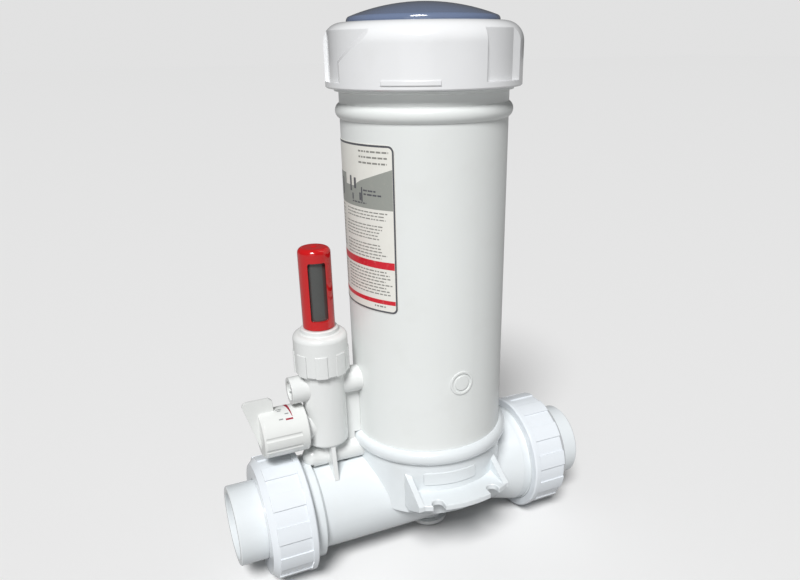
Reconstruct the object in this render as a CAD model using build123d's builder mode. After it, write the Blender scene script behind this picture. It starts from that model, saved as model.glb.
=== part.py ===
from build123d import *
from math import radians, sin, sqrt
import os

# In-line tablet feeder for a pool: a canister on a tee that is joined into a 2 inch pipe.
# Millimetres. The origin is where the pipe's centreline crosses the canister's axis,
# +X points to the outlet and -Y to the side with the name pad.

gap = 0.3                   # between parts that turn or slide past each other
joint_gap = 0.05            # between parts that are cemented or pressed together

# Pipe run
pipe_r = 41.7
water_r = 34.0
port_r = 28.0
stub_r = 49.6               # thread band that a union nut screws onto
shoulder_r = 48.0
left_face = -158.1          # where each stub meets its tailpiece
right_face = 119.1
left_shoulder = (-130.6, -121.0)
right_shoulder = (84.0, 92.0)
pipe_end_r = 30.25          # socket for 60.3 mm pipe
socket_depth = 33.0
tail_length = 37.25
hub_r = 36.3
tail_flange_r = 45.5
tail_flange_t = 6.0

# Union nuts
nut_r = 55.6
nut_pad_r = 56.7
nut_rim_r = 57.4
nut_lip = 6.4
nut_pads = 12

# Collar and canister
canister_r = 69.0
bore_r = 62.0
collar_r = 70.0
spigot_r = 64.0
spigot_bore_r = 58.0
collar_bottom = 2.0
collar_top = 68.0
bead_bottom = 54.0
bead_r = 75.0
floor_top = 44.0
floor_bottom = 39.0
neck_bead_z = 352.0
neck_bead_r = 72.5
stop_z = 366.0
neck_top = 405.4

# Lock ring and dome
ring_bottom = 369.0
ring_top = 416.2
ring_r = 79.0
ring_shoulder = 15.0
ring_window_r = 60.8
ring_bore_r = 72.6
grip_depth = 3.2
dome_r = 60.3
dome_top = 430.7
dome_crown_r = 169.0          # the crown is part of a sphere
dome_edge_radius = 3.6
dome_flange_t = 4.9

# Control valve beside the canister
valve_x = -101.4
valve_r = 19.2
valve_bottom = 67.0
valve_top = 158.0
spool_z = 85.8
spool_r = 8.0
upper_z = 122.4
upper_r = 12.0
lower_z = 52.0
lower_r = 10.0
knob_r = 21.6
knob_out = -162.0
knob_in = -121.8
fin_t = 3.2

# Sight tube on top of the valve
sight_r = 11.0
sight_bore_r = 8.5
sight_top = 244.0
shield_r = 13.75
shield_bottom = 178.2
shield_top = 248.0
window_bottom = 186.0
window_top = 237.0
window_centre = -10.0       # degrees from the front, towards -X
window_width = 64.0

os.makedirs("parts", exist_ok=True)


def save(builder, name):
    """Label the finished piece and write its file."""
    builder.part.label = name
    export_step(builder.part, f"parts/{name}.step")


def ray(angle):
    """Unit direction in plan, in degrees from the front (-Y) towards +X."""
    return Vector(0, -1, 0).rotate(Axis.Z, angle)


def half_plane(angle):
    """Plane that holds the Z axis, its local x pointing outwards at the given plan angle."""
    out = ray(angle)
    return Plane(origin=(0, 0, 0), x_dir=out, z_dir=out.cross(Vector(0, 0, 1)))


def o_ring(plane, ring_radius, cord_r):
    """Rubber ring lying in the given plane."""
    with BuildPart() as ring:
        with Locations(plane):
            Torus(ring_radius, cord_r)
    return ring


# Base

# Collar under the canister: a plain skirt with a rounded bead round its mouth.
with BuildPart() as collar:
    with BuildSketch(Plane.XZ):
        with BuildLine():
            Polyline(
                (spigot_r + joint_gap, floor_top), (spigot_r + joint_gap, collar_top), (71.0, collar_top)
            )
            ThreePointArc((71.0, collar_top), (74.1, 65.3), (bead_r, 61.5))
            ThreePointArc((bead_r, 61.5), (73.6, 56.6), (collar_r, bead_bottom))
            Polyline(
                (collar_r, bead_bottom), (collar_r, collar_bottom), (64.5, collar_bottom),
                (64.5, floor_bottom), (0, floor_bottom), (0, floor_top), (spigot_r + joint_gap, floor_top)
            )
        make_face()
    revolve(axis=Axis.Z)

# Ledge at the foot of the collar: a flat rim with two open notches and two upright gussets.
ledge_top = 27.0
ledge_t = 5.2
ledge_r = 93.0
ledge_x = -2.0              # middle of the ledge, a little to the inlet side
notch_x = 27.5
notch_w = 10.5
gusset_x = 42.5
gusset_t = 5.4

with BuildPart() as ledge:
    with BuildSketch(Plane.XY.offset(ledge_top - ledge_t)):
        Circle(ledge_r)
        Circle(collar_r - 2.0, mode=Mode.SUBTRACT)
        with Locations((ledge_x, -ledge_r)):
            Rectangle(2 * gusset_x + gusset_t, 2 * 62.0, mode=Mode.INTERSECT)
        with Locations((ledge_x - notch_x, -ledge_r), (ledge_x + notch_x, -ledge_r)):
            SlotCenterToCenter(2 * 9.0, notch_w, rotation=90, mode=Mode.SUBTRACT)
    extrude(amount=ledge_t)
    fillet(ledge.faces().sort_by(Axis.Z)[-1].outer_wire().edges(), 1.0)
    for x in (ledge_x - gusset_x, ledge_x + gusset_x):
        with BuildSketch(Plane.YZ.offset(x - gusset_t / 2)):
            with BuildLine():
                Polyline(
                    (-50, 9), (-50, 44), (-57.5, 41), (-83.5, ledge_top), (-83.5, 22), (-60, 9), close=True
                )
            make_face()
        extrude(amount=gusset_t)

# Name pad: a thin raised panel that follows the collar.
with BuildPart() as name_pad:
    with BuildSketch(Plane.XZ.offset(60)):
        with Locations((-8.5, 39.5)):
            RectangleRounded(49, 12, 2.0)
    extrude(amount=20)
    with BuildSketch(Plane.XY.offset(30)):
        Circle(collar_r + 0.9)
        Circle(collar_r - 1.0, mode=Mode.SUBTRACT)
    extrude(amount=20, mode=Mode.INTERSECT)

drain_boss_bottom = -46.0

with BuildPart() as feeder_base:
    with BuildSketch(Plane.XZ):
        with BuildLine():
            Polyline(
                (left_face, 0), (left_face, stub_r), (left_shoulder[0], stub_r),
                (left_shoulder[0], shoulder_r), (left_shoulder[1], shoulder_r),
                (left_shoulder[1] + 3, pipe_r), (62.0, pipe_r),
                (right_shoulder[0], shoulder_r), (right_shoulder[1], shoulder_r),
                (right_shoulder[1], stub_r), (right_face, stub_r), (right_face, 0), close=True
            )
        make_face()
    revolve(axis=Axis.X)
    add(collar.part)
    add(ledge.part)
    add(mirror(ledge.part, about=Plane.XZ, mode=Mode.PRIVATE))
    add(name_pad.part)
    with Locations((0, 0, drain_boss_bottom)):
        Cylinder(13.5, 12, align=(Align.CENTER, Align.CENTER, Align.MIN))
    # Waterway along the pipe
    with BuildSketch(Plane.XZ):
        with BuildLine():
            Polyline(
                (left_face, 0), (left_face, port_r), (-126, port_r), (-118, water_r), (78, water_r),
                (86, port_r), (right_face, port_r), (right_face, 0), close=True
            )
        make_face()
    revolve(axis=Axis.X, mode=Mode.SUBTRACT)
    # Grooves for the union seals, one in each end face
    for face_x, out in ((left_face, -1), (right_face, 1)):
        with BuildSketch(Plane(origin=(face_x, 0, 0), x_dir=(0, 1, 0), z_dir=(-out, 0, 0))):
            Circle(41.0)
            Circle(37.1, mode=Mode.SUBTRACT)
        extrude(amount=3.3, mode=Mode.SUBTRACT)
    # Sockets for the feed tube in the collar, the feed port, the outlet port and the drain hole
    with Locations(Location((-collar_r - 6, 0, lower_z), (0, 90, 0))):
        Cylinder(lower_r + joint_gap, 16, align=(Align.CENTER, Align.CENTER, Align.MIN), mode=Mode.SUBTRACT)
    with Locations((-86, 0, water_r - 4)):
        Cylinder(4.5, 14, align=(Align.CENTER, Align.CENTER, Align.MIN), mode=Mode.SUBTRACT)
    with Locations((30, 0, 20)):
        Cylinder(7.0, 30, align=(Align.CENTER, Align.CENTER, Align.MIN), mode=Mode.SUBTRACT)
    with Locations((0, 0, drain_boss_bottom - 1)):
        Cylinder(8.2, 20, align=(Align.CENTER, Align.CENTER, Align.MIN), mode=Mode.SUBTRACT)
        Cylinder(11.6, 3.5, align=(Align.CENTER, Align.CENTER, Align.MIN), mode=Mode.SUBTRACT)
save(feeder_base, "feeder_base")

# Canister

with BuildPart() as canister_badge:
    with BuildSketch(Plane.XZ.offset(60)):
        with Locations((1.0, 131.6)):
            Circle(10.8)
            Circle(8.9, mode=Mode.SUBTRACT)
            Circle(6.6)
    extrude(amount=20)
    with BuildSketch(Plane.XY.offset(110)):
        Circle(canister_r + 0.7)
        Circle(canister_r - 1.0, mode=Mode.SUBTRACT)
    extrude(amount=50, mode=Mode.INTERSECT)

with BuildPart() as canister:
    with BuildSketch(Plane.XZ):
        with BuildLine():
            Polyline(
                (spigot_bore_r, floor_top + joint_gap), (spigot_r, floor_top + joint_gap),
                (spigot_r, collar_top + joint_gap), (canister_r, collar_top + joint_gap),
                (canister_r, neck_bead_z - 6.4)
            )
            ThreePointArc(
                (canister_r, neck_bead_z - 6.4), (neck_bead_r, neck_bead_z), (canister_r, neck_bead_z + 5.6)
            )
            Polyline(
                (canister_r, neck_bead_z + 5.6), (canister_r, stop_z), (neck_bead_r, stop_z + 0.8),
                (neck_bead_r, ring_bottom - 0.4), (70.4, ring_bottom - 0.4), (70.4, neck_top - 1.5),
                (69.0, neck_top), (68.0, neck_top), (68.0, neck_top - 3.3), (63.9, neck_top - 3.3),
                (63.9, neck_top), (bore_r, neck_top), (bore_r, 76.0), (spigot_bore_r, 70.0),
                (spigot_bore_r, floor_top + joint_gap)
            )
        make_face()
    revolve(axis=Axis.Z)
    add(canister_badge.part)
    # Hole where the valve's upper tube enters
    with Locations(Location((-canister_r - 6, 0, upper_z), (0, 90, 0))):
        Cylinder(upper_r + joint_gap, 16, align=(Align.CENTER, Align.CENTER, Align.MIN), mode=Mode.SUBTRACT)
save(canister, "canister")

label_right = -44.0
label_arc = 110.0
label_bottom = 195.5
label_top = 330.5

with BuildPart() as canister_label:
    label_mid = (label_bottom + label_top) / 2
    label_out = ray(label_right - label_arc / 2)
    label_side = Vector(-label_out.Y, label_out.X, 0)
    with BuildSketch(Plane(origin=(0, 0, label_mid), x_dir=label_side, z_dir=label_out)):
        RectangleRounded(2 * canister_r * sin(radians(label_arc / 2)), label_top - label_bottom, 5.0)
    extrude(amount=canister_r + 5)
    with BuildSketch(Plane.XY.offset(label_bottom - 5)):
        Circle(canister_r + 0.3)
        Circle(canister_r + joint_gap, mode=Mode.SUBTRACT)
    extrude(amount=label_top - label_bottom + 10, mode=Mode.INTERSECT)
save(canister_label, "canister_label")

# Grate that holds the tablets off the floor
with BuildPart() as tablet_grate:
    with BuildSketch(Plane.XY.offset(76.1)):
        Circle(bore_r - gap)
        with GridLocations(0, 11, 1, 9):
            SlotOverall(70, 5, mode=Mode.SUBTRACT)
    extrude(amount=4)
save(tablet_grate, "tablet_grate")

# Lid

seal_r = 1.9
lid_seal = o_ring(Plane.XY.offset(neck_top - 3.3 + seal_r + joint_gap), 65.95, seal_r)
save(lid_seal, "lid_seal")

flange_bottom = neck_top + 0.6
flange_top = flange_bottom + dome_flange_t

dome_edge_z = dome_top - dome_crown_r + sqrt(dome_crown_r**2 - dome_r**2)

with BuildPart() as lid_dome:
    with BuildSketch(Plane.XZ) as dome_half:
        with BuildLine():
            Polyline(
                (0, dome_top - 3.6), (54.5, 417.0), (57.0, 412.0), (57.0, neck_top - 5.0),
                (bore_r - 0.5, neck_top - 5.0), (bore_r - 0.5, flange_bottom), (69.6, flange_bottom),
                (69.6, flange_top), (dome_r, flange_top), (dome_r, dome_edge_z)
            )
            RadiusArc((dome_r, dome_edge_z), (0, dome_top), -dome_crown_r)
            Line((0, dome_top), (0, dome_top - 3.6))
        make_face()
        fillet(dome_half.vertices().sort_by_distance((dome_r, dome_edge_z, 0))[0], dome_edge_radius)
    revolve(axis=Axis.Z)
save(lid_dome, "lid_dome")

# Lock ring: three broad raised grips with a narrow sunk panel between each two.
panel_from = 10.6
panel_arc = 26.4
panel_bottom = 374.0

with BuildPart() as sunk_panel:
    with BuildSketch(half_plane(panel_from)):
        with Locations((ring_r - grip_depth + 4, (panel_bottom + 424) / 2)):
            Rectangle(8, 424 - panel_bottom)
    revolve(axis=Axis.Z, revolution_arc=panel_arc)

# Each grip's leading end is a ramp up from the sunk panel before it.
ramp_arc = 5.5

with BuildPart() as grip_ramp:
    with BuildSketch(Plane.XY.offset(panel_bottom)):
        with BuildLine():
            Polyline(
                ray(panel_from + panel_arc) * (ring_r - grip_depth),
                ray(panel_from + panel_arc + ramp_arc) * ring_r,
                ray(panel_from + panel_arc + ramp_arc) * (ring_r + 3),
                ray(panel_from + panel_arc) * (ring_r + 3),
                close=True
            )
        make_face()
    extrude(amount=424 - panel_bottom)

# The front grip's leading top corner is cut off on a slant, with a broad bevel along the cut.
corner_from = panel_from + panel_arc - 120
corner_arc = 28.0
corner_low = 389.0
corner_high = 411.0
corner_bevel = 7.0
corner_sections = 5

with BuildPart() as grip_corner:
    for section in range(corner_sections):
        share = section / (corner_sections - 1)
        cut_z = corner_low + share * (corner_high - corner_low)
        with BuildSketch(half_plane(corner_from + share * corner_arc)):
            with BuildLine():
                Polyline(
                    (ring_r - grip_depth, cut_z), (ring_r + 1, cut_z - corner_bevel), (ring_r + 1, 426),
                    (ring_r - grip_depth, 426), close=True
                )
            make_face()
    loft()

# A low bar stands out along the foot of the front grip.
bar_from = -48.0
bar_arc = 32.0
bar_bottom = 372.8
bar_height = 3.3
bar_lift = 0.6

with BuildPart() as grip_bar:
    with BuildSketch(half_plane(bar_from)):
        with Locations((ring_r - 1 + bar_lift, bar_bottom + bar_height / 2)):
            Rectangle(2, bar_height)
    revolve(axis=Axis.Z, revolution_arc=bar_arc)

with BuildPart() as lock_ring:
    with BuildSketch(Plane.XZ):
        with BuildLine():
            Polyline(
                (ring_window_r, ring_top), (ring_window_r, flange_top + gap), (70.6, flange_top + gap),
                (ring_bore_r, flange_top - 3.2), (ring_bore_r, ring_bottom), (ring_r - 1.0, ring_bottom),
                (ring_r, ring_bottom + 1.0), (ring_r, ring_top - ring_shoulder)
            )
            RadiusArc(
                (ring_r, ring_top - ring_shoulder), (ring_r - ring_shoulder, ring_top), -ring_shoulder
            )
            Line((ring_r - ring_shoulder, ring_top), (ring_window_r, ring_top))
        make_face()
    revolve(axis=Axis.Z)
    with PolarLocations(0, 3):
        add(sunk_panel.part, mode=Mode.SUBTRACT)
        add(grip_ramp.part, mode=Mode.SUBTRACT)
    add(grip_corner.part, mode=Mode.SUBTRACT)
    add(grip_bar.part)
save(lock_ring, "lock_ring")


# Unions

def tailpiece(face_x, out):
    """Flanged socket that the outside pipe is cemented into; out is the way it points."""
    with BuildPart() as piece:
        start = face_x + out * joint_gap
        with BuildSketch(Plane.XZ):
            with BuildLine():
                Polyline(
                    (start, port_r), (start, tail_flange_r), (start + out * tail_flange_t, tail_flange_r),
                    (start + out * tail_flange_t, hub_r), (start + out * (tail_length - 1), hub_r),
                    (start + out * tail_length, hub_r - 1), (start + out * tail_length, pipe_end_r + 0.8),
                    (start + out * (tail_length - 0.8), pipe_end_r),
                    (start + out * (tail_length - socket_depth), pipe_end_r),
                    (start + out * (tail_length - socket_depth), port_r), close=True
                )
            make_face()
        revolve(axis=Axis.X)
    return piece


def union_nut(face_x, inner_x, out):
    """Nut that draws a tailpiece onto its stub, with low pads to grip."""
    lip_in = face_x + out * (joint_gap + tail_flange_t + gap)
    outer_x = lip_in + out * nut_lip
    rim_x = inner_x + out * 6.4
    pad_length = abs(outer_x - rim_x) - 4.5
    with BuildPart() as nut:
        with BuildSketch(Plane.XZ):
            with BuildLine():
                Polyline(
                    (inner_x, stub_r + gap), (inner_x, nut_rim_r - 1.2), (inner_x + out * 1.2, nut_rim_r),
                    (rim_x - out * 0.8, nut_rim_r), (rim_x, nut_r), (outer_x - out * 5.5, nut_r),
                    (outer_x, nut_r - 5.0), (outer_x, hub_r + 0.6), (lip_in, hub_r + 0.6),
                    (lip_in, stub_r + gap), close=True
                )
            make_face()
        revolve(axis=Axis.X)
        pad_start = Plane(origin=(rim_x - out * 0.5, 0, 0), x_dir=(0, 1, 0), z_dir=(out, 0, 0))
        with BuildSketch(pad_start):
            Circle(nut_pad_r)
            Circle(nut_r - 0.8, mode=Mode.SUBTRACT)
            with BuildLine(mode=Mode.PRIVATE) as wedge:
                Polyline((0, 0), (8.5, 64), (-8.5, 64), close=True)
            with PolarLocations(0, nut_pads, start_angle=15):
                add(make_face(wedge.edges(), mode=Mode.PRIVATE), mode=Mode.INTERSECT)
        extrude(amount=pad_length)
    return nut


left_tailpiece = tailpiece(left_face, -1)
save(left_tailpiece, "left_tailpiece")
right_tailpiece = tailpiece(right_face, 1)
save(right_tailpiece, "right_tailpiece")
left_union_nut = union_nut(left_face, left_shoulder[0] - gap, -1)
save(left_union_nut, "left_union_nut")
right_union_nut = union_nut(right_face, right_shoulder[1] + gap, 1)
save(right_union_nut, "right_union_nut")

union_seal_depth = 1.7
left_union_seal = o_ring(Plane.YZ.offset(left_face + union_seal_depth), 39.05, 1.6)
save(left_union_seal, "left_union_seal")
right_union_seal = o_ring(Plane.YZ.offset(right_face - union_seal_depth), 39.05, 1.6)
save(right_union_seal, "right_union_seal")

# Control valve

spool_bore_r = spool_r + 0.08
gland_face = -123.4
gland_bore_r = 11.0
clip_x = -122.2
check_bore_r = 6.6
check_seat_z = 60.0
spring_stop_z = 77.0
web_t = 4.0
plate_t = 3.5

with BuildPart() as valve_body:
    # Upright barrel and the neck that joins it to the feed tube
    with BuildSketch(Plane(origin=(valve_x, 0, 0), x_dir=(1, 0, 0), z_dir=(0, -1, 0))):
        with BuildLine():
            Polyline((0, lower_z), (9.5, lower_z), (9.5, valve_bottom), (valve_r - 3, valve_bottom))
            RadiusArc((valve_r - 3, valve_bottom), (valve_r, valve_bottom + 3), -3)
            Polyline(
                (valve_r, valve_bottom + 3), (valve_r, valve_top - 1), (valve_r - 1, valve_top), (0, valve_top),
                (0, lower_z)
            )
        make_face()
    revolve(axis=Axis((valve_x, 0, 0), (0, 0, 1)))
    # Feed tube along the pipe, closed and rounded at its left end
    with Locations(Location((-116, 0, lower_z), (0, 90, 0))):
        Cylinder(lower_r, 51.5, align=(Align.CENTER, Align.CENTER, Align.MIN))
    with Locations((-116, 0, lower_z)):
        Sphere(lower_r)
    # Upper tube: the right end enters the canister, the left end is an open cup
    with Locations(Location((-132.5, 0, upper_z), (0, 90, 0))):
        Cylinder(upper_r, 67.5, align=(Align.CENTER, Align.CENTER, Align.MIN))
    # Plate that fills the space between barrel, canister and both tubes
    with BuildSketch(Plane.XZ.offset(-plate_t / 2)):
        with BuildLine():
            Polyline(
                (valve_x + 12, lower_z + 5), (-bead_r - gap, lower_z + 5), (-bead_r - gap, collar_top + gap),
                (-canister_r - joint_gap, collar_top + gap), (-canister_r - joint_gap, upper_z - 5),
                (valve_x + 12, upper_z - 5), close=True
            )
        make_face()
    extrude(amount=plate_t)
    # Gland for the spool, under the knob's skirt
    with Locations(Location((gland_face, 0, spool_z), (0, 90, 0))):
        Cylinder(14.0, 12, align=(Align.CENTER, Align.CENTER, Align.MIN))
    # Web that carries the barrel on the pipe, cut to the pipe's round
    with BuildSketch(Plane.YZ.offset(valve_x - web_t / 2)):
        with BuildLine():
            Polyline((-17, valve_bottom + 3), (17, valve_bottom + 3), (24, 30), (-24, 30), close=True)
        make_face()
    extrude(amount=web_t)
    with Locations(Location((-140, 0, 0), (0, 90, 0))):
        Cylinder(
            pipe_r + joint_gap, 80, align=(Align.CENTER, Align.CENTER, Align.MIN), mode=Mode.SUBTRACT
        )
        Cylinder(
            shoulder_r + joint_gap, 22, align=(Align.CENTER, Align.CENTER, Align.MIN), mode=Mode.SUBTRACT
        )
    # Passages: feed port, check valve chamber, throat, barrel, spool bore and both upper tubes
    with Locations((-86, 0, 40)):
        Cylinder(4.5, 14, align=(Align.CENTER, Align.CENTER, Align.MIN), mode=Mode.SUBTRACT)
    with Locations(Location((-112, 0, lower_z), (0, 90, 0))):
        Cylinder(5.5, 32, align=(Align.CENTER, Align.CENTER, Align.MIN), mode=Mode.SUBTRACT)
    with Locations((valve_x, 0, lower_z)):
        Cylinder(
            check_bore_r, spring_stop_z - lower_z, align=(Align.CENTER, Align.CENTER, Align.MIN),
            mode=Mode.SUBTRACT
        )
        Cylinder(4.5, 60, align=(Align.CENTER, Align.CENTER, Align.MIN), mode=Mode.SUBTRACT)
    with Locations((valve_x, 0, 98)):
        Cylinder(7.4, 62, align=(Align.CENTER, Align.CENTER, Align.MIN), mode=Mode.SUBTRACT)
    with Locations(Location((gland_face - 1, 0, spool_z), (0, 90, 0))):
        Cylinder(spool_bore_r, 38, align=(Align.CENTER, Align.CENTER, Align.MIN), mode=Mode.SUBTRACT)
        Cylinder(gland_bore_r, 5.4, align=(Align.CENTER, Align.CENTER, Align.MIN), mode=Mode.SUBTRACT)
    with Locations(Location((clip_x, 0, spool_z), (0, 90, 0))):
        Cylinder(gland_bore_r + 0.9, 1.3, mode=Mode.SUBTRACT)
    with Locations(Location((valve_x, 0, upper_z), (0, 90, 0))):
        Cylinder(8.0, 50, align=(Align.CENTER, Align.CENTER, Align.MIN), mode=Mode.SUBTRACT)
    with Locations(Location((-133, 0, upper_z), (0, 90, 0))):
        Cylinder(8.6, 13, align=(Align.CENTER, Align.CENTER, Align.MIN), mode=Mode.SUBTRACT)
    # Groove for the seal under the sight tube
    with BuildSketch(Plane(origin=(valve_x, 0, valve_top), x_dir=(1, 0, 0), z_dir=(0, 0, -1))):
        Circle(14.7)
        Circle(11.7, mode=Mode.SUBTRACT)
    extrude(amount=2.5, mode=Mode.SUBTRACT)
save(valve_body, "valve_body")

with BuildPart() as check_seat:
    with BuildSketch(Plane(origin=(valve_x, 0, check_seat_z), x_dir=(1, 0, 0), z_dir=(0, 0, 1))):
        Circle(check_bore_r - joint_gap)
        Circle(3.6, mode=Mode.SUBTRACT)
    extrude(amount=3)
save(check_seat, "check_seat")

ball_r = 5.6
ball_z = 67.35
with BuildPart() as check_ball:
    with Locations((valve_x, 0, ball_z)):
        Sphere(ball_r)
save(check_ball, "check_ball")

spring_wire_r = 0.35
spring_r = 3.9
spring_bottom = 71.85
with BuildPart() as check_spring:
    with BuildLine():
        Helix(pitch=1.55, height=4.65, radius=spring_r, center=(valve_x, 0, spring_bottom))
    wire_start = Plane(origin=(valve_x + spring_r, 0, spring_bottom), x_dir=(1, 0, 0), z_dir=(0, 1, 0.063))
    with BuildSketch(wire_start):
        Circle(spring_wire_r)
    sweep(is_frenet=True)
save(check_spring, "check_spring")

# Spool: a turned plug with a cross hole, held in by a snap ring and sealed by two rings
spool_end = -88.0
seal_grooves = (-112.6, -91.2)
knob_wall_x = -150.0

with BuildPart() as valve_spool:
    with BuildSketch(Plane(origin=(0, 0, spool_z), x_dir=(1, 0, 0), z_dir=(0, -1, 0))):
        with BuildLine():
            points = [(spool_end, 0), (spool_end, spool_r)]
            for groove in reversed(seal_grooves):
                points += [(groove + 1.1, spool_r), (groove + 1.1, 6.0), (groove - 1.1, 6.0),
                           (groove - 1.1, spool_r)]
            points += [(-119.4, spool_r), (-119.4, 10.6), (-121.4, 10.6), (-121.4, spool_r - 0.1),
                       (-157.0, spool_r - 0.1), (-157.0, 0)]
            Polyline(*points, close=True)
        make_face()
    revolve(axis=Axis((0, 0, spool_z), (1, 0, 0)))
    with Locations((valve_x, 0, spool_z)):
        Cylinder(4.5, 20, mode=Mode.SUBTRACT)
save(valve_spool, "valve_spool")

with BuildPart() as spool_seals:
    for groove in seal_grooves:
        with Locations(Plane(origin=(groove, 0, spool_z), x_dir=(0, 1, 0), z_dir=(1, 0, 0))):
            Torus(7.05, 0.95)
save(spool_seals, "spool_seals")

with BuildPart() as gland_clip:
    with BuildSketch(Plane(origin=(clip_x - 0.5, 0, spool_z), x_dir=(0, 1, 0), z_dir=(1, 0, 0))):
        Circle(gland_bore_r + 0.8)
        Circle(8.9, mode=Mode.SUBTRACT)
        with Locations((0, -10)):
            Rectangle(7, 8, mode=Mode.SUBTRACT)
    extrude(amount=1.0)
save(gland_clip, "gland_clip")

# Knob: a deep cap with grip flutes round its lower side and a wing that shows the setting
flute_angles = (79, 110, 141, 172, 203, 234, 265)
flute_length = 34.0

with BuildPart() as control_knob:
    with BuildSketch(Plane(origin=(0, 0, spool_z), x_dir=(1, 0, 0), z_dir=(0, -1, 0))):
        with BuildLine():
            Polyline(
                (knob_out, 0), (knob_out, knob_r - 2.0), (knob_out + 2.0, knob_r), (knob_in - 0.8, knob_r),
                (knob_in, knob_r - 0.8), (knob_in, 18.2), (knob_wall_x, 18.2), (knob_wall_x, 11.0),
                (gland_face - 2.6, 11.0), (gland_face - 2.6, spool_r), (-157.2, spool_r), (-157.2, 0), close=True
            )
        make_face()
    revolve(axis=Axis((0, 0, spool_z), (1, 0, 0)))
    for angle in flute_angles:
        side = Vector(0, 0, 1).rotate(Axis.X, angle)
        with Locations(Location((knob_out - 1, (knob_r + 1.6) * side.Y, spool_z + (knob_r + 1.6) * side.Z),
                                (0, 90, 0))):
            Cylinder(2.5, flute_length, align=(Align.CENTER, Align.CENTER, Align.MIN), mode=Mode.SUBTRACT)
    with BuildSketch(Plane.XZ.offset(-fin_t / 2)):
        with BuildLine():
            Polyline(
                (-158.6, 65.0), (-161.8, 71.0), (-174.6, 115.5), (-173.4, 118.6), (-171.0, 119.6), (-151.5, 119.6),
                (-148.5, 117.0), (-148.0, 105.5), (-157.5, 105.5), (-157.5, 65.0), close=True
            )
        make_face()
    extrude(amount=fin_t)
save(control_knob, "control_knob")

# Sight tube

sight_axis = Axis((valve_x, 0, 0), (0, 0, 1))
sight_plane = Plane(origin=(valve_x, 0, 0), x_dir=(1, 0, 0), z_dir=(0, -1, 0))

with BuildPart() as sight_tube:
    with BuildSketch(sight_plane):
        with BuildLine():
            Polyline(
                (sight_bore_r, valve_top + joint_gap), (16.4, valve_top + joint_gap), (16.4, valve_top + 4),
                (sight_r, valve_top + 4), (sight_r, sight_top - 3), (sight_r - 3, sight_top), (0, sight_top),
                (0, sight_top - 2.5), (sight_bore_r - 2, sight_top - 2.5), (sight_bore_r, sight_top - 4.5),
                close=True
            )
        make_face()
    revolve(axis=sight_axis)
save(sight_tube, "sight_tube")

seal_plane = Plane(origin=(valve_x, 0, valve_top - 1.25), x_dir=(1, 0, 0), z_dir=(0, 0, 1))
sight_seal = o_ring(seal_plane, 13.2, 1.15)
save(sight_seal, "sight_seal")

with BuildPart() as flow_float:
    with BuildSketch(Plane(origin=(valve_x, 0, valve_top + 0.4), x_dir=(1, 0, 0), z_dir=(0, 0, 1))):
        Circle(sight_bore_r - gap)
    extrude(amount=40)
    fillet(flow_float.edges().group_by(Axis.Z)[-1], 2.0)
save(flow_float, "flow_float")

with BuildPart() as indicator_shield:
    with BuildSketch(sight_plane):
        with BuildLine():
            Polyline(
                (sight_r + joint_gap, shield_bottom), (shield_r - 0.6, shield_bottom),
                (shield_r, shield_bottom + 0.6), (shield_r, shield_top - 4.5)
            )
            RadiusArc((shield_r, shield_top - 4.5), (shield_r - 4.5, shield_top), -4.5)
            Polyline(
                (shield_r - 4.5, shield_top), (3.0, shield_top), (2.0, shield_top - 0.8), (0, shield_top - 0.8),
                (0, sight_top + joint_gap), (sight_r - 2.95, sight_top + joint_gap),
                (sight_r + joint_gap, sight_top - 2.95), (sight_r + joint_gap, shield_bottom)
            )
        make_face()
    revolve(axis=sight_axis)
    window_out = ray(window_centre)
    window_side = Vector(-window_out.Y, window_out.X, 0)
    window_chord = 2 * shield_r * sin(radians(window_width / 2))
    with BuildSketch(
        Plane(origin=(valve_x, 0, (window_bottom + window_top) / 2), x_dir=window_side, z_dir=window_out)
    ):
        RectangleRounded(window_chord, window_top - window_bottom, 2.0)
    extrude(amount=20, mode=Mode.SUBTRACT)
save(indicator_shield, "indicator_shield")

nut_bottom = 138.0
valve_pad_top = 158.0
valve_nut_r = 23.5
valve_pad_r = 24.2
pads_on_valve_nut = 8

with BuildPart() as valve_nut:
    with BuildSketch(sight_plane):
        with BuildLine():
            Polyline(
                (valve_r + gap, nut_bottom), (valve_nut_r - 0.8, nut_bottom), (valve_nut_r, nut_bottom + 0.8),
                (valve_nut_r, 168.0)
            )
            ThreePointArc((valve_nut_r, 168.0), (21.8, 172.4), (17.8, 173.6))
            Polyline(
                (17.8, 173.6), (16.2, 174.2), (16.2, 177.2), (15.4, 178.0), (sight_r + 0.5, 178.0),
                (sight_r + 0.5, valve_top + 4 + gap), (valve_r + gap, valve_top + 4 + gap),
                (valve_r + gap, nut_bottom)
            )
        make_face()
    revolve(axis=sight_axis)
    with BuildSketch(Plane(origin=(valve_x, 0, nut_bottom), x_dir=(1, 0, 0), z_dir=(0, 0, 1))):
        Circle(valve_pad_r)
        Circle(valve_nut_r - 0.8, mode=Mode.SUBTRACT)
        with BuildLine(mode=Mode.PRIVATE) as pad_wedge:
            Polyline((0, 0), (6.2, 28), (-6.2, 28), close=True)
        with PolarLocations(0, pads_on_valve_nut, start_angle=28):
            add(make_face(pad_wedge.edges(), mode=Mode.PRIVATE), mode=Mode.INTERSECT)
    extrude(amount=valve_pad_top - nut_bottom)
save(valve_nut, "valve_nut")

# Drain

plug_head_top = drain_boss_bottom - 0.2
plug_bottom = -50.4
plug_head_r = 18.5

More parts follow.
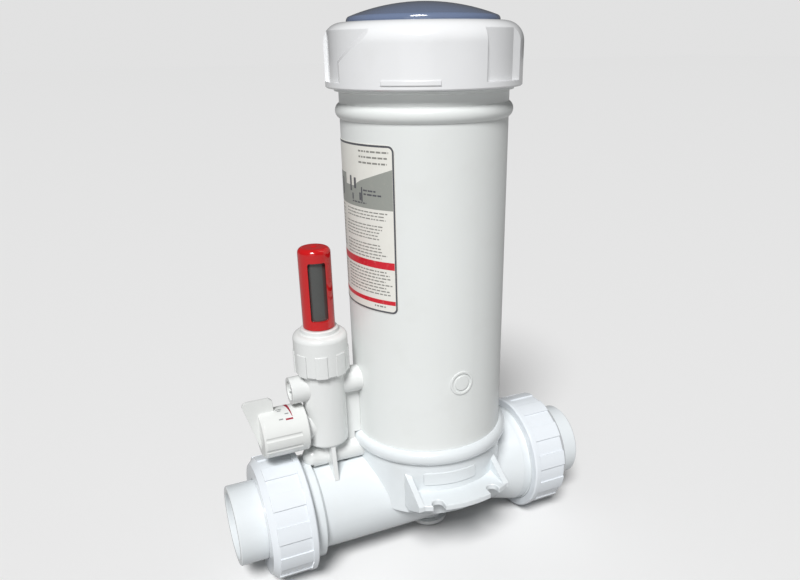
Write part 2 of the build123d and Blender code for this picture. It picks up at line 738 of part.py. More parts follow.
with BuildPart() as drain_plug:
    with BuildSketch(Plane.XY.offset(plug_bottom)):
        Circle(plug_head_r)
    extrude(amount=plug_head_top - plug_bottom)
    fillet(drain_plug.edges().sort_by(Axis.Z)[0], 1.2)
    with Locations((0, 0, plug_head_top)):
        Cylinder(8.2 - gap, 11, align=(Align.CENTER, Align.CENTER, Align.MIN))
    with BuildSketch(Plane.XY.offset(plug_bottom)):
        RegularPolygon(4.6, 6)
    extrude(amount=2.6, mode=Mode.SUBTRACT)
save(drain_plug, "drain_plug")

drain_seal = o_ring(Plane.XY.offset(plug_head_top + 1.35), 9.75, 1.15)
save(drain_seal, "drain_seal")
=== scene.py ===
import bpy
import math
import random
from mathutils import Matrix, Vector


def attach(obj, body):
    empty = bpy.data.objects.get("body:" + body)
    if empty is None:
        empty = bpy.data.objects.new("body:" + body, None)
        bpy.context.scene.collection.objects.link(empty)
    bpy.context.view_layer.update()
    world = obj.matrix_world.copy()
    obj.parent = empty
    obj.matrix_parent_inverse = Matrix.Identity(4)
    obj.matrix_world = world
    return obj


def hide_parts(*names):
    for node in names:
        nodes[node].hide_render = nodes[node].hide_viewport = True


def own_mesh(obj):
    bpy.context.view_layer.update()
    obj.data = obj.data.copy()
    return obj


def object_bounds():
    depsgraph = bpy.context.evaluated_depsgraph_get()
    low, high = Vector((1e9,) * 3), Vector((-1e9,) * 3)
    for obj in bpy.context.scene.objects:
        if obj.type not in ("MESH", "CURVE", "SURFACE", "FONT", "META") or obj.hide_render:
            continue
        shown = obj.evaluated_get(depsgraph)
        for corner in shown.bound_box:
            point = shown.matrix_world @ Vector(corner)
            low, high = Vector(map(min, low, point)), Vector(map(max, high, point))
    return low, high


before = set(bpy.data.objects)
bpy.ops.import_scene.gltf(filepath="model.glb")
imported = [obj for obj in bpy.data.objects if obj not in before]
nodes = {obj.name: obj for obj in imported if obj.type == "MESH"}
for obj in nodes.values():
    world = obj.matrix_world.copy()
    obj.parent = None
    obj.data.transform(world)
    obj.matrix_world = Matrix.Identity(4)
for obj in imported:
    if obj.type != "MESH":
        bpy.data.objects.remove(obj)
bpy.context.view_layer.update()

mm = 0.001
valveX = -101.4   # the valve's upright axis, in millimetres
knobZ = 85.8      # the height of the knob's axis


def toLinear(hexText):
    # sRGB hex to the linear values that shader sockets take
    parts = [int(hexText[i:i + 2], 16) / 255 for i in (1, 3, 5)]
    return tuple(p / 12.92 if p <= 0.04045 else ((p + 0.055) / 1.055) ** 2.4 for p in parts) + (1.0,)


def addNode(tree, kind, settings=None, inputs=None):
    # settings are the node's own properties; inputs are values or sockets, by name or by number
    node = tree.nodes.new(kind)
    for key, value in (settings or {}).items():
        setattr(node, key, value)
    for key, value in (inputs or {}).items():
        if isinstance(value, bpy.types.NodeSocket):
            tree.links.new(value, node.inputs[key])
        else:
            node.inputs[key].default_value = value
    return node


def newMaterial(name, shaderInputs):
    material = bpy.data.materials.new(name)
    material.use_nodes = True
    tree = material.node_tree
    tree.nodes.clear()
    shader = addNode(tree, "ShaderNodeBsdfPrincipled", inputs=shaderInputs)
    addNode(tree, "ShaderNodeOutputMaterial", inputs={"Surface": shader.outputs[0]})
    return material, tree, shader


def mixColour(tree, factor, first, second):
    # sockets 0, 6 and 7 of a Mix node are its factor and its two colours
    return addNode(tree, "ShaderNodeMix", {"data_type": "RGBA"}, {0: factor, 6: first, 7: second}).outputs[2]


def setMaterial(obj, material):
    obj.data.materials.clear()
    obj.data.materials.append(material)
    for face in obj.data.polygons:
        face.material_index = 0


def meshObject(name, verts, faces, material):
    mesh = bpy.data.meshes.new(name)
    mesh.from_pydata([tuple(c * mm for c in v) for v in verts], [], faces)
    mesh.validate()
    obj = bpy.data.objects.new(name, mesh)
    bpy.context.scene.collection.objects.link(obj)
    setMaterial(obj, material)
    return obj


def mouldedPlastic(name, look):
    # Injection moulded: even gloss with a faint orange peel from the mould, slow flow shading,
    # softly rounded edges and a little handling grime that lies in patches
    material, tree, shader = newMaterial(name, {
        "IOR": look["ior"], "Transmission Weight": look.get("clear", 0.0),
        "Coat Weight": look.get("coat", 0.0), "Coat Roughness": look.get("coatRoughness", 0.08),
        "Subsurface Weight": look.get("depth", 0.0), "Subsurface Radius": (1.0, 0.9, 0.8),
        "Subsurface Scale": 2 * mm,
    })
    where = addNode(tree, "ShaderNodeTexCoord").outputs["Object"]
    flow = addNode(tree, "ShaderNodeTexNoise", inputs={
        "Vector": where, "Scale": 1 / look["flowSize"], "Detail": 3.0})
    grime = addNode(tree, "ShaderNodeTexNoise", inputs={
        "Vector": where, "Scale": 1 / look["grimeSize"], "Detail": 6.0})
    grimeShare = addNode(tree, "ShaderNodeMapRange", inputs={
        "Value": grime.outputs[0], "From Min": 0.55, "From Max": 0.75, "To Max": look["grime"]})
    body = mixColour(tree, flow.outputs[0], toLinear(look["colour"]), toLinear(look["flowColour"]))
    colour = mixColour(tree, grimeShare.outputs[0], body, toLinear(look["grimeColour"]))
    tree.links.new(colour, shader.inputs["Base Color"])
    gloss = addNode(tree, "ShaderNodeMapRange", inputs={
        "Value": grime.outputs[0], "To Min": look["roughness"] * 0.8, "To Max": look["roughness"] * 1.3})
    tree.links.new(gloss.outputs[0], shader.inputs["Roughness"])
    peel = addNode(tree, "ShaderNodeTexNoise", inputs={
        "Vector": where, "Scale": 1 / look["peelSize"], "Detail": 2.0})
    rounded = addNode(tree, "ShaderNodeBevel", {"samples": 4}, {"Radius": look["edgeRadius"]})
    bump = addNode(tree, "ShaderNodeBump", inputs={
        "Height": peel.outputs[0], "Distance": look["peelDepth"], "Strength": 0.35,
        "Normal": rounded.outputs[0]})
    tree.links.new(bump.outputs[0], shader.inputs["Normal"])
    return material


plainWhite = {
    "colour": "#e6ebed", "flowColour": "#dfe4e7", "grimeColour": "#cfcec8", "grime": 0.10,
    "roughness": 0.22, "ior": 1.53, "flowSize": 60 * mm, "grimeSize": 28 * mm,
    "peelSize": 1.6 * mm, "peelDepth": 0.05 * mm, "edgeRadius": 0.7 * mm,
}


def mouldedPvc():
    # Rigid PVC, injection moulded: cool white and glossy, so edges carry thin bright lines
    return mouldedPlastic("mouldedWhitePvc", dict(plainWhite, roughness=0.18, coat=0.2))


def nutPvc():
    # The nuts are moulded of the same PVC in a brighter, more polished mould
    return mouldedPlastic("polishedWhitePvc", dict(
        plainWhite, colour="#ebf0f5", flowColour="#e4e9ee", roughness=0.14, coat=0.3, edgeRadius=0.5 * mm))


def valvePvc():
    # The valve is moulded of PVC from another batch, a neutral white beside the cooler pipe
    return mouldedPlastic("mouldedValvePvc", dict(
        plainWhite, colour="#e9ebea", flowColour="#e3e5e4", coat=0.2))


def canisterAbs():
    # ABS, moulded over a long draw: a warmer satin white with broad soft highlights
    return mouldedPlastic("mouldedSatinAbs", dict(
        plainWhite, colour="#ecefee", flowColour="#e6e9e7", roughness=0.30, ior=1.52,
        flowSize=90 * mm, peelSize=1.2 * mm))


def ringAbs():
    # Glossy ABS: flat bright grips and near-white shoulders
    return mouldedPlastic("mouldedGlossAbs", dict(
        plainWhite, colour="#f2f3f4", flowColour="#edeef0", roughness=0.16, ior=1.52,
        coat=0.3, edgeRadius=0.9 * mm))


def knobAbs():
    # Knob ABS, a shade warmer than the pipe, with a soft polish from fingers
    return mouldedPlastic("polishedKnobAbs", dict(
        plainWhite, colour="#e9ebe9", flowColour="#e3e5e3", roughness=0.2))


def innerAcetal():
    # Acetal, machined or moulded: dull waxy white that takes in some light
    return mouldedPlastic("machinedAcetal", dict(
        plainWhite, colour="#e6e5df", flowColour="#dddcd4", roughness=0.42, depth=0.15))


def plugPolypropylene():
    # Polypropylene, moulded: greyish white, a little waxy
    return mouldedPlastic("mouldedPolypropylene", dict(
        plainWhite, colour="#d9dbdc", flowColour="#d0d2d3", roughness=0.38, depth=0.1))


def tintedPolycarbonate():
    # Blue-grey polycarbonate, blow polished: a deep slate colour under a hard clear gloss
    return mouldedPlastic("tintedPolycarbonate", dict(
        plainWhite, colour="#7a89a9", flowColour="#73829f", grimeColour="#8b93a5", grime=0.15,
        roughness=0.10, ior=1.58, coat=0.8, coatRoughness=0.03, clear=0.15,
        peelDepth=0.02 * mm, edgeRadius=0.5 * mm))


def redPolystyrene():
    # Red polystyrene, gloss moulded: saturated with sharp highlights down its sides
    return mouldedPlastic("mouldedRedPolystyrene", dict(
        plainWhite, colour="#cd1317", flowColour="#c11014", grimeColour="#a83430", grime=0.10,
        roughness=0.12, ior=1.59, coat=0.25, coatRoughness=0.05, edgeRadius=0.4 * mm))


def smokedAcrylic():
    # Extruded acrylic tube stained by use: smoky grey, part clear, so the float shows as a darker core
    return mouldedPlastic("smokedAcrylicTube", dict(
        plainWhite, colour="#6f7270", flowColour="#5f615f", grimeColour="#57534b", grime=0.35,
        roughness=0.12, ior=1.49, coat=0.6, clear=0.45, grimeSize=9 * mm, edgeRadius=0.3 * mm))


def floatPolypropylene():
    # Dark polypropylene float
    return mouldedPlastic("darkFloatPolypropylene", dict(
        plainWhite, colour="#3c3f42", flowColour="#34373a", grimeColour="#55575a",
        roughness=0.35, edgeRadius=0.4 * mm))


def labelVinyl():
    # Calendered vinyl film: creamy, flat and slightly duller than the canister under it
    return mouldedPlastic("calenderedVinylFilm", dict(
        plainWhite, colour="#f1f0ea", flowColour="#eae9e1", grimeColour="#cdc9bb", grime=0.25,
        roughness=0.38, ior=1.5, peelSize=0.8 * mm, edgeRadius=0.1 * mm))


def ink(name, colour, roughness=0.4):
    # Screen printed ink: flat colour with the film's grain broken up in fine specks
    return mouldedPlastic(name, dict(
        plainWhite, colour=colour, flowColour=colour, grimeColour="#b9b6ac", grime=0.2,
        roughness=roughness, grimeSize=2.5 * mm, edgeRadius=0.05 * mm))


def mouldedRubber():
    # EPDM, compression moulded: near-black, dull, with a dusty bloom on it
    material, tree, shader = newMaterial("mouldedEpdmRubber", {
        "IOR": 1.52, "Sheen Weight": 0.15, "Sheen Roughness": 0.6})
    where = addNode(tree, "ShaderNodeTexCoord").outputs["Object"]
    bloom = addNode(tree, "ShaderNodeTexNoise", inputs={
        "Vector": where, "Scale": 1 / (4 * mm), "Detail": 5.0})
    colour = mixColour(tree, bloom.outputs[0], toLinear("#161616"), toLinear("#2c2b2a"))
    tree.links.new(colour, shader.inputs["Base Color"])
    dull = addNode(tree, "ShaderNodeMapRange", inputs={
        "Value": bloom.outputs[0], "To Min": 0.5, "To Max": 0.75})
    tree.links.new(dull.outputs[0], shader.inputs["Roughness"])
    bump = addNode(tree, "ShaderNodeBump", inputs={
        "Height": bloom.outputs[0], "Distance": 0.04 * mm, "Strength": 0.4})
    tree.links.new(bump.outputs[0], shader.inputs["Normal"])
    return material


def drawnSteel():
    # Stainless spring wire, drawn: bright metal with fine lines along the draw, seen as a soft sheen
    material, tree, shader = newMaterial("drawnStainlessWire", {"Metallic": 1.0, "Anisotropic": 0.5})
    where = addNode(tree, "ShaderNodeTexCoord").outputs["Object"]
    lines = addNode(tree, "ShaderNodeTexNoise", inputs={
        "Vector": where, "Scale": 1 / (0.4 * mm), "Detail": 4.0})
    colour = mixColour(tree, lines.outputs[0], toLinear("#b9bbbe"), toLinear("#9a9da1"))
    tree.links.new(colour, shader.inputs["Base Color"])
    rough = addNode(tree, "ShaderNodeMapRange", inputs={
        "Value": lines.outputs[0], "To Min": 0.22, "To Max": 0.4})
    tree.links.new(rough.outputs[0], shader.inputs["Roughness"])
    return material


pvc = mouldedPvc()
brightPvc = nutPvc()
neutralPvc = valvePvc()
satinAbs = canisterAbs()
ringPlastic = ringAbs()
acetal = innerAcetal()
rubber = mouldedRubber()
steel = drawnSteel()
nodeMaterials = {
    "feeder_base": pvc, "valve_body": neutralPvc, "left_tailpiece": pvc, "right_tailpiece": pvc,
    "left_union_nut": brightPvc, "right_union_nut": brightPvc, "valve_nut": neutralPvc,
    "canister": satinAbs, "lock_ring": ringPlastic, "control_knob": knobAbs(),
    "canister_label": labelVinyl(),
    "lid_dome": tintedPolycarbonate(), "indicator_shield": redPolystyrene(), "sight_tube": smokedAcrylic(),
    "flow_float": floatPolypropylene(), "drain_plug": plugPolypropylene(),
    "tablet_grate": acetal, "valve_spool": acetal, "check_ball": acetal,
    "gland_clip": steel, "check_spring": steel,
}
for name, node in nodes.items():
    setMaterial(node, nodeMaterials.get(name, rubber))
print("materials on", len(nodes), "nodes")


def geometryTree(name, sizes):
    # An empty geometry tree with named inputs; sizes gives each input's name, and the type of its value
    # gives the input's kind
    tree = bpy.data.node_groups.new(name, "GeometryNodeTree")
    kinds = {float: "NodeSocketFloat", int: "NodeSocketInt", tuple: "NodeSocketVector"}
    for label, value in sizes.items():
        tree.interface.new_socket(label, in_out="INPUT", socket_type=kinds[type(value)])
    tree.interface.new_socket("Material", in_out="INPUT", socket_type="NodeSocketMaterial")
    tree.interface.new_socket("Geometry", in_out="OUTPUT", socket_type="NodeSocketGeometry")
    return tree, addNode(tree, "NodeGroupInput")


def endTree(tree, geometry, material):
    whole = addNode(tree, "GeometryNodeRealizeInstances", inputs={0: geometry})
    painted = addNode(tree, "GeometryNodeSetMaterial", inputs={
        "Geometry": whole.outputs[0], "Material": material})
    addNode(tree, "NodeGroupOutput", inputs={0: painted.outputs[0]})


def growPiece(name, tree, sizes, material):
    # Runs the tree with these sizes and keeps the result as a plain mesh
    host = bpy.data.objects.new(name + "Host", bpy.data.meshes.new(name + "Host"))
    bpy.context.scene.collection.objects.link(host)
    modifier = host.modifiers.new("grow", "NODES")
    modifier.node_group = tree
    values = dict(sizes, Material=material)
    for item in tree.interface.items_tree:
        if item.in_out == "INPUT" and item.name in values:
            modifier[item.identifier] = values[item.name]
    bpy.context.view_layer.update()
    mesh = bpy.data.meshes.new_from_object(host.evaluated_get(bpy.context.evaluated_depsgraph_get()))
    bpy.data.objects.remove(host)
    mesh.name = name
    obj = bpy.data.objects.new(name, mesh)
    bpy.context.scene.collection.objects.link(obj)
    return obj


threadSizes = {
    "Radius": 0.07, "Turns": 3.0, "Pitch": 0.006, "Ridge": 0.001,
    "Turn": (0.0, 0.0, 0.0), "Place": (0.0, 0.0, 0.0)}


def threadTree():
    # One ridge that winds round a band: a helix given a small round section, then turned and placed
    tree, inputs = geometryTree("threadRidge", threadSizes)
    sink = inputs.outputs
    rise = addNode(tree, "ShaderNodeMath", {"operation": "MULTIPLY"}, {0: sink["Pitch"], 1: sink["Turns"]})
    path = addNode(tree, "GeometryNodeCurveSpiral", inputs={
        "Resolution": 96, "Rotations": sink["Turns"], "Height": rise.outputs[0],
        "Start Radius": sink["Radius"], "End Radius": sink["Radius"]})
    section = addNode(tree, "GeometryNodeCurvePrimitiveCircle", {"mode": "RADIUS"}, {
        "Resolution": 8, "Radius": sink["Ridge"]})
    ridge = addNode(tree, "GeometryNodeCurveToMesh", inputs={
        "Curve": path.outputs[0], "Profile Curve": section.outputs[0], "Fill Caps": True})
    smooth = addNode(tree, "GeometryNodeSetShadeSmooth", inputs={0: ridge.outputs[0]})
    placed = addNode(tree, "GeometryNodeTransform", inputs={
        "Geometry": smooth.outputs[0], "Translation": sink["Place"], "Rotation": sink["Turn"]})
    endTree(tree, placed.outputs[0], sink["Material"])
    return tree


threads = {  # where each ridge starts, in millimetres, with its band's radius and its lead
    "neckThread": {
        "radius": 70.4, "turns": 3.4, "pitch": 6.0, "ridge": 1.5,
        "start": (0, 0, 376), "along": "z", "of": satinAbs},
    "leftStubThread": {
        "radius": 49.5, "turns": 3.0, "pitch": 6.0, "ridge": 0.3,
        "start": (-154.5, 0, 0), "along": "x", "of": pvc},
    "rightStubThread": {
        "radius": 49.5, "turns": 3.0, "pitch": 6.0, "ridge": 0.3,
        "start": (97.0, 0, 0), "along": "x", "of": pvc},
    "barrelThread": {
        "radius": 19.1, "turns": 3.2, "pitch": 4.0, "ridge": 0.3,
        "start": (valveX, 0, 142), "along": "z", "of": neutralPvc},
}
ridgeTree = threadTree()
for name, thread in threads.items():
    sizes = {
        "Radius": thread["radius"] * mm, "Turns": thread["turns"],
        "Pitch": thread["pitch"] * mm, "Ridge": thread["ridge"] * mm,
        "Turn": (0.0, math.pi / 2, 0.0) if thread["along"] == "x" else (0.0, 0.0, 0.0),
        "Place": tuple(c * mm for c in thread["start"]),
    }
    ridge = growPiece(name, ridgeTree, sizes, thread["of"])
    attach(ridge, "base")
print("threads wound")

checkCoil = {
    "radius": 3.9, "wire": 0.35, "turns": 3.0, "pitch": 1.55,
    "bottom": 71.85, "held": 77.0, "squeezed": 0.62}
springWire = growPiece("checkCoil", ridgeTree, {
    "Radius": checkCoil["radius"] * mm, "Turns": checkCoil["turns"], "Pitch": checkCoil["pitch"] * mm,
    "Ridge": checkCoil["wire"] * mm, "Turn": (0.0, 0.0, 0.0),
    "Place": (valveX * mm, 0.0, checkCoil["bottom"] * mm)}, steel)
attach(springWire, "base")
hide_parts("check_spring")
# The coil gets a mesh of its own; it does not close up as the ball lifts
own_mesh(springWire)
print("check spring coiled")


cup = {"place": (-121.5, 0, 122.4), "length": 9.5, "inner": 3.0, "outer": 8.4, "thick": 1.1, "ribs": 6}


def ribTree():
    # Ribs set round a hub by the count, each a thin box turned to face the middle
    sizes = {
        "Ribs": 6, "Inner": 0.003, "Outer": 0.008, "Length": 0.009,
        "Thick": 0.001, "Place": (0.0, 0.0, 0.0)}
    tree, inputs = geometryTree("cupRibs", sizes)
    sink = inputs.outputs
    span = addNode(tree, "ShaderNodeMath", {"operation": "SUBTRACT"}, {0: sink["Outer"], 1: sink["Inner"]})
    both = addNode(tree, "ShaderNodeMath", {"operation": "ADD"}, {0: sink["Outer"], 1: sink["Inner"]})
    middle = addNode(tree, "ShaderNodeMath", {"operation": "MULTIPLY"}, {0: both.outputs[0], 1: 0.5})
    size = addNode(tree, "ShaderNodeCombineXYZ", inputs={
        0: sink["Length"], 1: sink["Thick"], 2: span.outputs[0]})
    offset = addNode(tree, "ShaderNodeCombineXYZ", inputs={2: middle.outputs[0]})
    rib = addNode(tree, "GeometryNodeMeshCube", inputs={"Size": size.outputs[0]})
    out = addNode(tree, "GeometryNodeTransform", inputs={
        "Geometry": rib.outputs[0], "Translation": offset.outputs[0]})
    seats = addNode(tree, "GeometryNodePoints", inputs={"Count": sink["Ribs"]})
    index = addNode(tree, "GeometryNodeInputIndex")
    share = addNode(tree, "ShaderNodeMath", {"operation": "DIVIDE"}, {0: index.outputs[0], 1: sink["Ribs"]})
    angle = addNode(tree, "ShaderNodeMath", {"operation": "MULTIPLY"}, {0: share.outputs[0], 1: 2 * math.pi})
    turn = addNode(tree, "ShaderNodeCombineXYZ", inputs={0: angle.outputs[0]})
    ribs = addNode(tree, "GeometryNodeInstanceOnPoints", inputs={
        "Points": seats.outputs[0], "Instance": out.outputs[0], "Rotation": turn.outputs[0]})
    placed = addNode(tree, "GeometryNodeTransform", inputs={
        "Geometry": ribs.outputs[0], "Translation": sink["Place"]})
    endTree(tree, placed.outputs[0], sink["Material"])
    return tree


cupRibs = growPiece("cupRibs", ribTree(), {
    "Ribs": cup["ribs"], "Inner": cup["inner"] * mm, "Outer": cup["outer"] * mm,
    "Length": cup["length"] * mm, "Thick": cup["thick"] * mm,
    "Place": tuple(c * mm for c in (cup["place"][0] - cup["length"] / 2, 0, cup["place"][2]))}, neutralPvc)
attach(cupRibs, "base")
print("cup ribs set")


class RolledPrint:
    # Flat ink laid on a cylinder: patches run from one angle to another and follow its curve

    def __init__(self, radius, point, step=2.0):
        self.radius = radius
        self.point = point      # turns an angle in degrees and a place along the axis into x, y, z
        self.step = step        # most degrees that one flat facet spans
        self.verts = []
        self.faces = []

    def patch(self, startAngle, endAngle, startEdges, endEdges):
        count = max(1, math.ceil(abs(endAngle - startAngle) / self.step))
        for i in range(count + 1):
            share = i / count
            angle = startAngle + (endAngle - startAngle) * share
            for first, last in zip(startEdges, endEdges):
                self.verts.append(self.point(self.radius, angle, first + (last - first) * share))
            if i:
                n = len(self.verts)
                self.faces.append((n - 4, n - 3, n - 1, n - 2))  # outward, since angles are given falling

    def bar(self, startAngle, endAngle, low, high):
        self.patch(startAngle, endAngle, (low, high), (low, high))


def onCanister(radius, angle, z):
    # angle from the front (-Y) towards +X
    a = math.radians(angle)
    return (radius * math.sin(a), -radius * math.cos(a), z)


def onKnob(radius, angle, x):
    # angle from the top towards the front (-Y)
    a = math.radians(angle)
    return (x, -radius * math.sin(a), knobZ + radius * math.cos(a))


label = {
    "radius": 69.36, "right": -44.0, "left": -154.0, "bottom": 195.5, "top": 330.5,
    "corner": 5.0, "line": 1.5, "band": (281.0, 302.0), "bandRise": 10.5,
    "redStripes": ((233.2, 239.2), (203.2, 206.8)), "seed": 4,
}


def labelBorder():
    # A dark line just inside the film's edge, rounded at its four corners
    art = RolledPrint(label["radius"], onCanister)
    perDegree = label["radius"] * math.pi / 180
    line = label["line"]
    lineArc = line / perDegree
    cornerArc = label["corner"] / perDegree
    low, high = label["bottom"] + 0.4, label["top"] - 0.4
    right, left = label["right"] - 0.4, label["left"] + 0.4
    for edge in (right, left + lineArc):
        art.bar(edge, edge - lineArc, low + label["corner"], high - label["corner"])
    for edge in (low, high - line):
        art.bar(right - cornerArc, left + cornerArc, edge, edge + line)
    steps = 6
    for side, turn in ((right, -1), (left, 1)):
        for base, rise in ((low, 1), (high, -1)):
            for i in range(steps):
                corners = []
                for k in (i, i + 1):
                    a = math.pi / 2 * k / steps
                    for reach in (label["corner"], label["corner"] - line):
                        arc = (label["corner"] - reach * math.cos(a)) / perDegree
                        z = base + rise * (label["corner"] - reach * math.sin(a))
                        corners.append(onCanister(label["radius"], side + turn * arc, z))
                n = len(art.verts)
                art.verts += corners
                art.faces.append((n, n + 1, n + 3, n + 2) if turn * rise < 0 else (n, n + 2, n + 3, n + 1))
    return art


def wordLines(art, rng, right, left, low, high, pitch, height, rag=6.0):
    # Lines of made-up words: dashes of uneven length with a gap after each
    z = high
    while z - height > low:
        angle = left + rng.uniform(0, 1)
        end = right - rng.uniform(0, rag)
        while angle < end:
            length = rng.uniform(1.2, 4.2)
            art.bar(min(angle + length, end), angle, z - height, z)
            angle += length + 0.75
        z -= pitch


def labelText():
    art = RolledPrint(label["radius"], onCanister)
    rng = random.Random(label["seed"])
    wordLines(art, rng, -47.5, -73, 314.5, 325.5, 4.3, 1.3)
    wordLines(art, rng, -49, -91, 270.5, 278.6, 2.6, 0.9)
    wordLines(art, rng, -52, -93, 255.0, 268.0, 2.6, 0.9)
    wordLines(art, rng, -51, -93, 240.6, 252.5, 2.6, 0.9)
    wordLines(art, rng, -47, -93, 208.5, 231.0, 2.7, 1.0)
    wordLines(art, rng, -51, -63, 197.8, 201.6, 4.0, 1.3)
    wordLines(art, rng, -97, -150, 241.5, 278.6, 2.8, 1.0, 2.0)
    wordLines(art, rng, -97, -150, 208.5, 231.0, 2.8, 1.0, 2.0)
    return art


def labelBand():
    # Grey panel whose top edge falls away to the left, with a low left part
    art = RolledPrint(label["radius"], onCanister)
    low, high = label["band"]
    right, left = label["right"] - 1.8, label["left"] + 1.8
    art.patch(right, -72, (low, high + label["bandRise"]), (low, high))
    art.patch(-72, -80, (low, high), (low, high - 5.0))
    art.bar(-80, left, low, high - 5.0)
    art.bar(-91, left, high - 5.0, high + 3.5)
    return art


def labelMarks():
    # Dark blocks on the panel, where a drawing and its captions stand
    art = RolledPrint(label["radius"] + 0.02, onCanister)
    rng = random.Random(label["seed"] + 1)
    for angle, width, low, high in (
            (-84.5, 2.2, 292.5, 304.5), (-79.2, 2.4, 295.0, 303.5), (-71.5, 1.3, 285.6, 297.0),
            (-73.5, 1.8, 286.5, 292.5), (-82.0, 1.6, 286.0, 291.0), (-100.0, 3.0, 287.0, 301.0),
            (-112.0, 3.0, 285.0, 296.0)):
        art.bar(angle + width, angle, low, high)
    wordLines(art, rng, -54, -70, 289.4, 295.5, 3.0, 1.3)
    wordLines(art, rng, -64, -82, 281.8, 285.2, 2.4, 1.1)
    wordLines(art, rng, -120, -146, 286.0, 296.0, 4.2, 1.6)
    return art


def labelStripes():
    art = RolledPrint(label["radius"], onCanister)
    for low, high in label["redStripes"]:
        art.bar(label["right"] - 1.8, label["left"] + 1.8, low, high)
    return art


darkInk = ink("screenPrintedSlateInk", "#55565c")
textInk = ink("screenPrintedGreyInk", "#8e8d88")
bandInk = ink("screenPrintedPanelGrey", "#9c9f99")
redInk = ink("screenPrintedRedInk", "#d51f30")
for name, art, material in (
        ("labelBorder", labelBorder(), darkInk), ("labelText", labelText(), textInk),
        ("labelBand", labelBand(), bandInk), ("labelMarks", labelMarks(), darkInk),
        ("labelStripes", labelStripes(), redInk)):
    piece = meshObject(name, art.verts, art.faces, material)
    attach(piece, "base")
print("label printed")


knobPrint = {
    "radius": 21.66, "wedge": (-14, 33), "wedgeInner": -134.2, "wedgeWidth": 3.4, "tick": 38.0,
}


def flowWedge():
    # A red wedge that narrows as the flow setting falls, and the red line that ends the scale
    art = RolledPrint(knobPrint["radius"], onKnob)
    start, end = knobPrint["wedge"]
    inner, width = knobPrint["wedgeInner"], knobPrint["wedgeWidth"]
    art.patch(end, start, (inner - 0.4, inner), (inner - width, inner - 0.6))
    art.patch(start, start - 60, (inner - width, inner - 0.6), (inner - width - 2.5, inner - 0.6))
    art.bar(knobPrint["tick"] + 2.2, knobPrint["tick"] - 2.2, -140.6, -134.2)
    return art


def scaleMarks():
    # Short lines beside the wedge, one to a setting, and longer ones where a figure would stand
    art = RolledPrint(knobPrint["radius"], onKnob)
    for angle, start, end in (
            (-70, -140, -143.5), (-48, -140, -143.5), (-26, -140, -143.5), (4, -141.5, -146.5),
            (10, -142.6, -145.8), (22.5, -136.9, -140.2), (35.6, -142.8, -146.4)):
        art.bar(angle + 1.5, angle - 1.5, end, start)
    return art


for name, art, material in (
        ("flowWedge", flowWedge(), ink("padPrintedRedInk", "#a02038")),
        ("scaleMarks", scaleMarks(), ink("padPrintedGreyInk", "#8c8f8f"))):
    piece = meshObject(name, art.verts, art.faces, material)
    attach(piece, "knob")
print("knob scale printed")


cameraView = {
    "place": (-254.9 * mm, -545.1 * mm, 399.2 * mm), "yaw": 0.4259, "pitch": -0.3954, "roll": -0.0143,
    "lens": 31.54, "shiftX": -0.0235, "shiftY": 0.0598,
}
studio = {
    "floorColour": "#f1f1f1", "bounceColour": "#b4b4b4", "airColour": "#ffffff", "air": 0.10,
    "skyTilt": (-0.45, -0.70, 1.0), "skyStrength": 3.3, "skySpread": 20.0, "horizonMatch": 0.95,
}
lamps = {
    "frontLamp": {"place": (-0.70, -1.05, 0.55), "size": 0.8, "watts": 0.9},
}


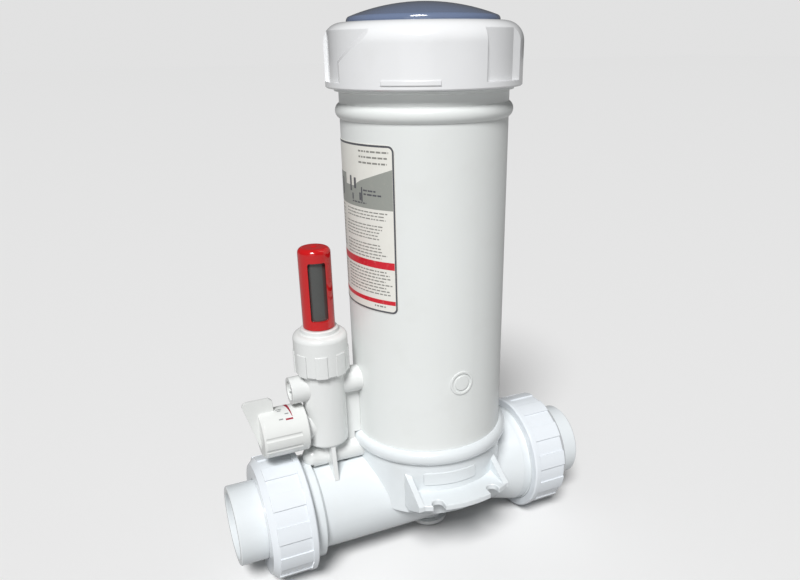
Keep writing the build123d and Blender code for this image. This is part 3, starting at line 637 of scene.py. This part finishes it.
def makeStage():
    scene = bpy.context.scene
    low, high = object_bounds()
    bpy.ops.mesh.primitive_plane_add(size=40, location=(0, 0, low.z - 0.0005))
    floor = bpy.context.object
    floor.name = "floor"
    # Painted board: pale where it is seen, and greyer as a reflector, so undersides stay shaded
    material, tree, shader = newMaterial("paintedPaleBoard", {"Roughness": 0.9})
    direct = addNode(tree, "ShaderNodeLightPath").outputs["Is Camera Ray"]
    board = mixColour(tree, direct, toLinear(studio["bounceColour"]), toLinear(studio["floorColour"]))
    tree.links.new(board, shader.inputs["Base Color"])
    setMaterial(floor, material)
    skyWay = Vector(studio["skyTilt"]).normalized()
    world = bpy.data.worlds.new("softStudio")
    world.use_nodes = True
    air = world.node_tree
    air.nodes["Background"].inputs[0].default_value = toLinear(studio["airColour"])
    # The air is as bright as the far floor where it is seen, so no horizon shows, and dimmer as light
    floorGlow = studio["skyStrength"] * skyWay.z / math.pi + studio["air"]
    floorGlow *= toLinear(studio["floorColour"])[0] * studio["horizonMatch"]
    seen = addNode(air, "ShaderNodeLightPath")
    strength = addNode(air, "ShaderNodeMapRange", inputs={
        "Value": seen.outputs["Is Camera Ray"], "To Min": studio["air"], "To Max": floorGlow})
    air.links.new(strength.outputs[0], air.nodes["Background"].inputs[1])
    scene.world = world
    sky = bpy.data.lights.new("softSky", "SUN")
    sky.energy = studio["skyStrength"]
    sky.angle = math.radians(studio["skySpread"])
    skyObject = bpy.data.objects.new("softSky", sky)
    scene.collection.objects.link(skyObject)
    skyObject.rotation_euler = skyWay.to_track_quat("Z", "Y").to_euler()
    for name, lamp in lamps.items():
        data = bpy.data.lights.new(name, "AREA")
        data.energy = lamp["watts"]
        data.size = lamp["size"]
        obj = bpy.data.objects.new(name, data)
        scene.collection.objects.link(obj)
        obj.location = lamp["place"]
        obj.rotation_euler = (Vector((0, 0, 0.2)) - obj.location).to_track_quat("-Z", "Y").to_euler()
    data = bpy.data.cameras.new("camera")
    data.lens = cameraView["lens"]
    data.shift_x = cameraView["shiftX"]
    data.shift_y = cameraView["shiftY"]
    camera = bpy.data.objects.new("camera", data)
    scene.collection.objects.link(camera)
    turn = Matrix.Rotation(-cameraView["yaw"], 4, "Z")
    turn = turn @ Matrix.Rotation(math.pi / 2 + cameraView["pitch"], 4, "X")
    turn = turn @ Matrix.Rotation(cameraView["roll"], 4, "Z")
    camera.matrix_world = Matrix.Translation(cameraView["place"]) @ turn
    scene.camera = camera
    scene.view_settings.view_transform = "Standard"


makeStage()
print("stage ready")
